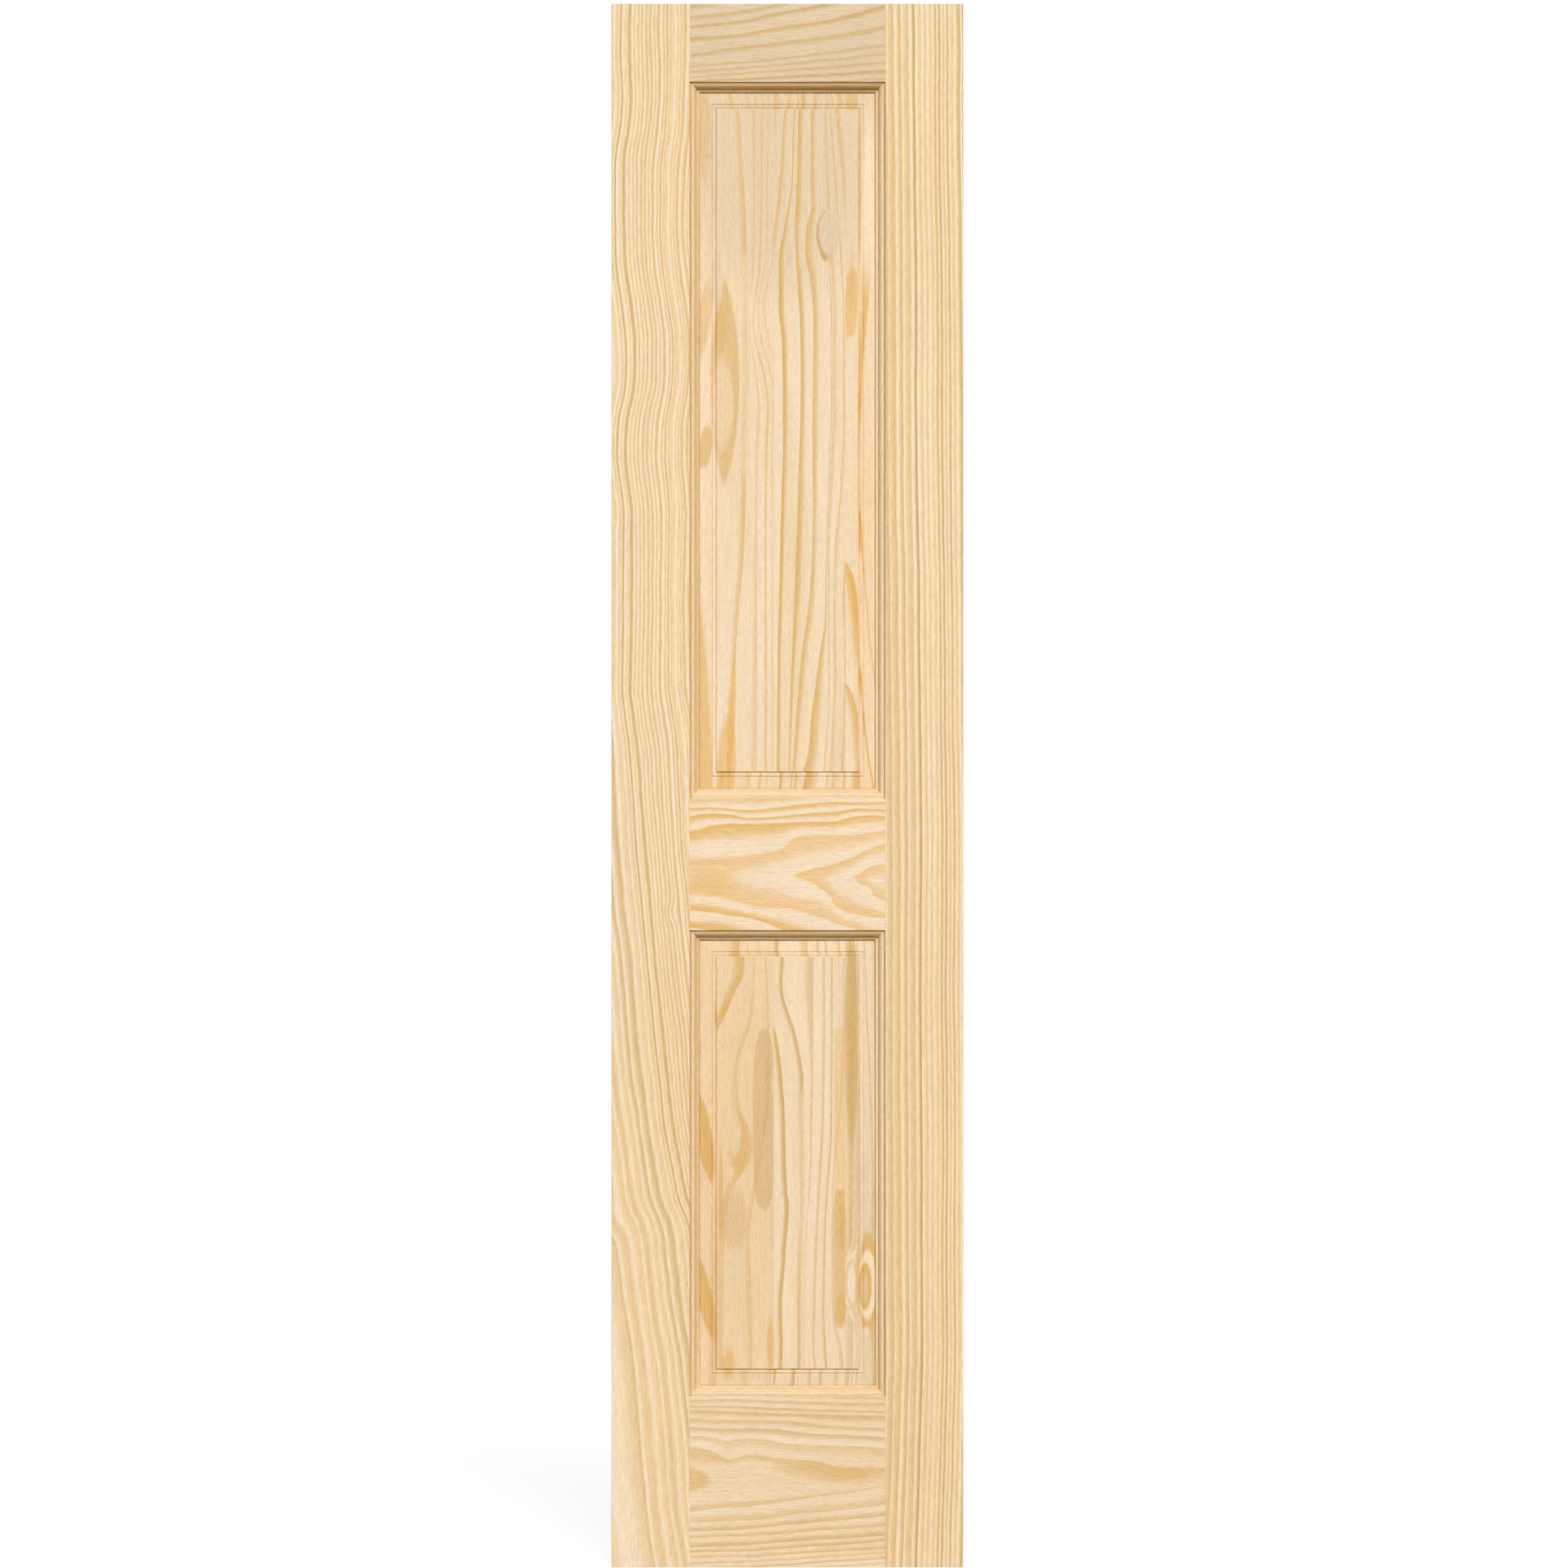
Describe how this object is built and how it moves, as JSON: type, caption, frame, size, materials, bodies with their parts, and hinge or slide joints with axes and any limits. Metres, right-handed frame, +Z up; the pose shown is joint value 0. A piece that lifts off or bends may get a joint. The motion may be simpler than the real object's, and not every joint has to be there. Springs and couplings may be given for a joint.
{
  "type": "two-panel interior door leaf",
  "caption": "Narrow pine door leaf with raised panels above and below a lock rail, ovolo-moulded stiles and rails, not bored or hinged.",
  "frame": {"origin": "middle of the bottom edge, half way through the thickness", "axes": "+X across the leaf to the right seen from the front, +Y through the thickness to the back, +Z up"},
  "size_m": [0.4572, 0.0348, 2.032],
  "materials": {
    "stile_veneer": "sanded pine, unfinished",
    "rail_veneer": "sanded pine, unfinished",
    "moulded_strip": "moulded pine, unfinished",
    "edge_strip": "planed pine, unfinished",
    "panel": "sanded pine, unfinished",
    "core": "sawn pine",
    "dowel": "fluted beech"
  },
  "bodies": {
    "root": {"left_stile_core": "core", "left_stile_edge_strip": "edge_strip", "left_stile_moulded_strip": "moulded_strip", "left_stile_front_veneer": "stile_veneer", "left_stile_back_veneer": "stile_veneer", "right_stile_core": "core", "right_stile_edge_strip": "edge_strip", "right_stile_moulded_strip": "moulded_strip", "right_stile_front_veneer": "stile_veneer", "right_stile_back_veneer": "stile_veneer", "top_rail_core": "core", "top_rail_lower_moulded_strip": "moulded_strip", "top_rail_front_veneer": "rail_veneer", "top_rail_back_veneer": "rail_veneer", "top_rail_dowels": "dowel", "lock_rail_core": "core", "lock_rail_lower_moulded_strip": "moulded_strip", "lock_rail_upper_moulded_strip": "moulded_strip", "lock_rail_front_veneer": "rail_veneer", "lock_rail_back_veneer": "rail_veneer", "lock_rail_dowels": "dowel", "bottom_rail_core": "core", "bottom_rail_upper_moulded_strip": "moulded_strip", "bottom_rail_front_veneer": "rail_veneer", "bottom_rail_back_veneer": "rail_veneer", "bottom_rail_dowels": "dowel", "upper_panel_left_stave": "panel", "upper_panel_middle_stave": "panel", "upper_panel_right_stave": "panel", "lower_panel_left_stave": "panel", "lower_panel_middle_stave": "panel", "lower_panel_right_stave": "panel"}
  },
  "joints": []
}
